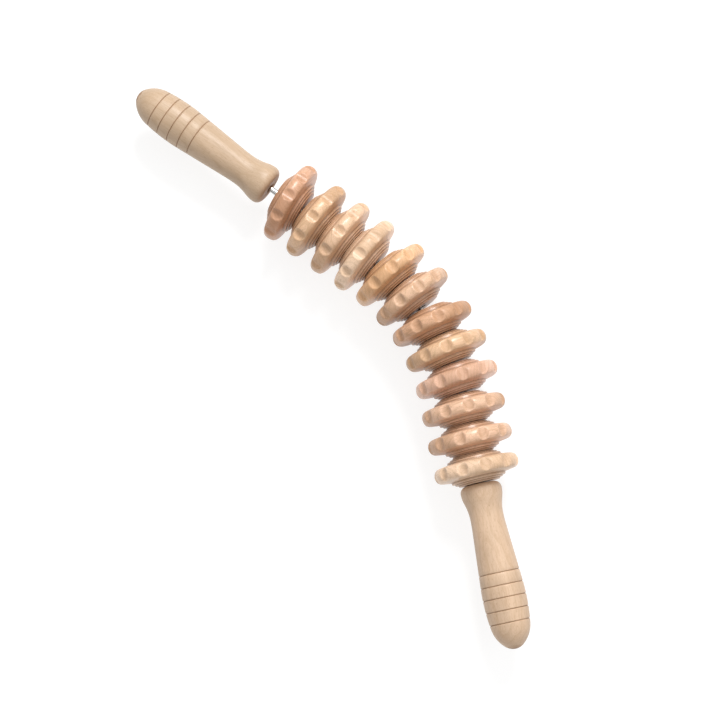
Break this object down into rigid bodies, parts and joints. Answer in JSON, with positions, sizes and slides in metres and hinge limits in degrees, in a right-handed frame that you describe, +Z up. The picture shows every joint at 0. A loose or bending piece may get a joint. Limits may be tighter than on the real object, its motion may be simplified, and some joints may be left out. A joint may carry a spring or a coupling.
{
  "type": "curved massage roller",
  "caption": "Hand-held massage roller: notched wooden wheels turn loosely on a bent steel rod between turned wooden handles.",
  "frame": {"origin": "under the middle of the object's box, on the level surface that it lies on", "axes": "the rod lies in a level plane; +X from handle 1 to handle 2, +Y towards the outside of the bend, +Z up"},
  "size_m": [0.4372, 0.1124, 0.055],
  "materials": {
    "rod_steel": "polished",
    "wheel_wood": "satin lacquer",
    "handle_wood": "satin lacquer",
    "insert_steel": "plated"
  },
  "bodies": {
    "root": {"rod": "rod_steel", "handle_1": "handle_wood", "handle_2": "handle_wood", "handle_insert_1": "insert_steel", "handle_insert_2": "insert_steel"},
    "wheel_01": {"wheel_01": "wheel_wood"},
    "wheel_02": {"wheel_02": "wheel_wood"},
    "wheel_03": {"wheel_03": "wheel_wood"},
    "wheel_04": {"wheel_04": "wheel_wood"},
    "wheel_05": {"wheel_05": "wheel_wood"},
    "wheel_06": {"wheel_06": "wheel_wood"},
    "wheel_07": {"wheel_07": "wheel_wood"},
    "wheel_08": {"wheel_08": "wheel_wood"},
    "wheel_09": {"wheel_09": "wheel_wood"},
    "wheel_10": {"wheel_10": "wheel_wood"},
    "wheel_11": {"wheel_11": "wheel_wood"},
    "wheel_12": {"wheel_12": "wheel_wood"}
  },
  "joints": [
    {"name": "wheel_01_spin", "type": "hinge", "parent": "root", "child": "wheel_01", "pos_m": [-0.10229, -0.00461, 0.0275], "axis": [0.9114, 0.4114, 0], "continuous": true},
    {"name": "wheel_02_spin", "type": "hinge", "parent": "root", "child": "wheel_02", "pos_m": [-0.08303, 0.00278, 0.0275], "axis": [0.9504, 0.311, 0], "continuous": true},
    {"name": "wheel_03_spin", "type": "hinge", "parent": "root", "child": "wheel_03", "pos_m": [-0.06503, 0.00969, 0.0275], "axis": [0.9482, 0.3178, 0], "continuous": true},
    {"name": "wheel_04_spin", "type": "hinge", "parent": "root", "child": "wheel_04", "pos_m": [-0.04686, 0.01667, 0.0275], "axis": [0.9548, 0.2973, 0], "continuous": true},
    {"name": "wheel_05_spin", "type": "hinge", "parent": "root", "child": "wheel_05", "pos_m": [-0.0269, 0.02372, 0.0275], "axis": [0.9903, 0.1391, 0], "continuous": true},
    {"name": "wheel_06_spin", "type": "hinge", "parent": "root", "child": "wheel_06", "pos_m": [-0.00725, 0.02779, 0.0275], "axis": [0.9978, 0.0669, 0], "continuous": true},
    {"name": "wheel_07_spin", "type": "hinge", "parent": "root", "child": "wheel_07", "pos_m": [0.01462, 0.02894, 0.0275], "axis": [0.989, -0.1477, 0], "continuous": true},
    {"name": "wheel_08_spin", "type": "hinge", "parent": "root", "child": "wheel_08", "pos_m": [0.03423, 0.02703, 0.0275], "axis": [0.9821, -0.1883, 0], "continuous": true},
    {"name": "wheel_09_spin", "type": "hinge", "parent": "root", "child": "wheel_09", "pos_m": [0.05362, 0.02229, 0.0275], "axis": [0.9697, -0.2444, 0], "continuous": true},
    {"name": "wheel_10_spin", "type": "hinge", "parent": "root", "child": "wheel_10", "pos_m": [0.07243, 0.0153, 0.0275], "axis": [0.9504, -0.311, 0], "continuous": true},
    {"name": "wheel_11_spin", "type": "hinge", "parent": "root", "child": "wheel_11", "pos_m": [0.09061, 0.00832, 0.0275], "axis": [0.9435, -0.3314, 0], "continuous": true},
    {"name": "wheel_12_spin", "type": "hinge", "parent": "root", "child": "wheel_12", "pos_m": [0.10862, 0.0014, 0.0275], "axis": [0.9411, -0.3382, 0], "continuous": true}
  ]
}
